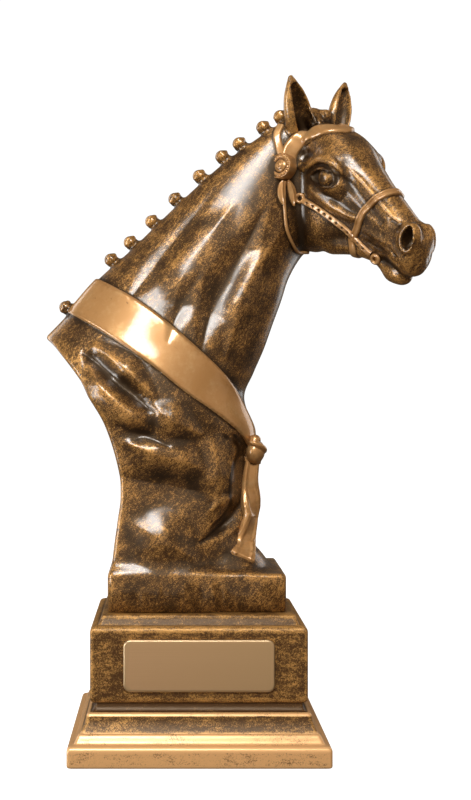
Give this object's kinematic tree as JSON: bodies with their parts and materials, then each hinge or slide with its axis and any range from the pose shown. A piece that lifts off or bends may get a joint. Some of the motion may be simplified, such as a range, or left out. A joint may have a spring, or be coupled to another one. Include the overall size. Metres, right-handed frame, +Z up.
{
  "type": "horse head trophy",
  "caption": "Cast horse-head bust trophy with plaited mane, bridle and sash, on a stepped rectangular plinth with a blank name plate.",
  "frame": {"origin": "middle of the plinth's underside, on the surface that the trophy stands on", "axes": "+Z up. -Y is the front, where the name plate is. +X is the way the horse's neck leans, and its head turns from +X towards -Y"},
  "size_m": [0.1256, 0.0728, 0.2245],
  "materials": {
    "bust_finish": "cast stone-filled resin, painted dark bronze brushed with gold, lacquered to a soft gloss",
    "plinth_finish": "cast stone-filled resin, painted bronze-gold, brushed, with brighter gold along the mouldings",
    "plate": "fine brushed champagne gold, left blank"
  },
  "bodies": {
    "root": {"horse_bust": "bust_finish", "plinth": "plinth_finish", "name_plate": "plate"}
  },
  "joints": []
}
